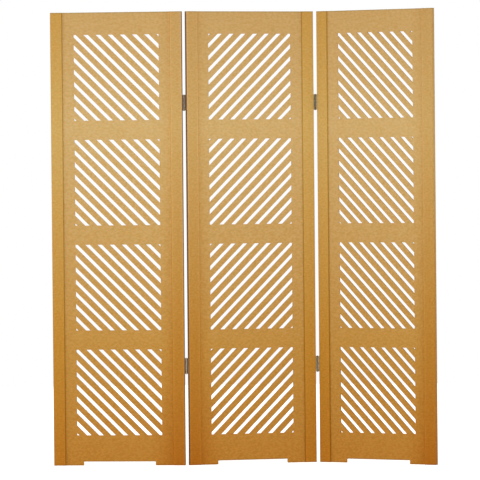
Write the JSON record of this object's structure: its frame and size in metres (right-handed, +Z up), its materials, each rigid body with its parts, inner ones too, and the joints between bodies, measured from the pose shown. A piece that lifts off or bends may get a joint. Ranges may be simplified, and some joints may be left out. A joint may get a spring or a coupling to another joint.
{
  "type": "folding screen",
  "caption": "Free-standing folding screen of slotted wooden panels hinged edge to edge, standing in a zigzag on shallow feet.",
  "frame": {"origin": "on the floor, at the middle of the screen's footprint as it stands at rest", "axes": "+Z up along the stiles; +X along the line of the screen, from its left panel to its right; +Y from the front to the back"},
  "size_m": [1.4688, 0.2828, 1.74],
  "materials": {
    "board": "satin, fine-mottled",
    "stile": "satin, fine-mottled",
    "hinge_leaf": "dull, darkened",
    "pin": "dull",
    "screw": "dull"
  },
  "bodies": {
    "middle_panel": {"middle_panel_slotted_board": "board", "middle_panel_left_stile": "stile", "middle_panel_right_stile": "stile", "left_joint_upper_middle_leaf": "hinge_leaf", "left_joint_upper_middle_leaf_screw_1": "screw", "left_joint_upper_middle_leaf_screw_2": "screw", "left_joint_upper_middle_leaf_screw_3": "screw", "left_joint_lower_middle_leaf": "hinge_leaf", "left_joint_lower_middle_leaf_screw_1": "screw", "left_joint_lower_middle_leaf_screw_2": "screw", "left_joint_lower_middle_leaf_screw_3": "screw", "right_joint_upper_middle_leaf": "hinge_leaf", "right_joint_upper_middle_leaf_screw_1": "screw", "right_joint_upper_middle_leaf_screw_2": "screw", "right_joint_upper_middle_leaf_screw_3": "screw", "right_joint_lower_middle_leaf": "hinge_leaf", "right_joint_lower_middle_leaf_screw_1": "screw", "right_joint_lower_middle_leaf_screw_2": "screw", "right_joint_lower_middle_leaf_screw_3": "screw", "left_joint_upper_pin": "pin", "left_joint_lower_pin": "pin", "right_joint_upper_pin": "pin", "right_joint_lower_pin": "pin"},
    "left_panel": {"left_panel_slotted_board": "board", "left_panel_left_stile": "stile", "left_panel_right_stile": "stile", "left_joint_upper_outer_leaf": "hinge_leaf", "left_joint_upper_outer_leaf_screw_1": "screw", "left_joint_upper_outer_leaf_screw_2": "screw", "left_joint_upper_outer_leaf_screw_3": "screw", "left_joint_lower_outer_leaf": "hinge_leaf", "left_joint_lower_outer_leaf_screw_1": "screw", "left_joint_lower_outer_leaf_screw_2": "screw", "left_joint_lower_outer_leaf_screw_3": "screw"},
    "right_panel": {"right_panel_slotted_board": "board", "right_panel_left_stile": "stile", "right_panel_right_stile": "stile", "right_joint_upper_outer_leaf": "hinge_leaf", "right_joint_upper_outer_leaf_screw_1": "screw", "right_joint_upper_outer_leaf_screw_2": "screw", "right_joint_upper_outer_leaf_screw_3": "screw", "right_joint_lower_outer_leaf": "hinge_leaf", "right_joint_lower_outer_leaf_screw_1": "screw", "right_joint_lower_outer_leaf_screw_2": "screw", "right_joint_lower_outer_leaf_screw_3": "screw"}
  },
  "joints": [
    {"name": "left_fold", "type": "hinge", "parent": "middle_panel", "child": "left_panel", "pos_m": [-0.22242, 0.00488, 0], "axis": [0, 0, -1], "range_deg": [-22, 158]},
    {"name": "right_fold", "type": "hinge", "parent": "middle_panel", "child": "right_panel", "pos_m": [0.2826, 0.11786, 0], "axis": [0, 0, -1], "range_deg": [-47, 133]}
  ]
}
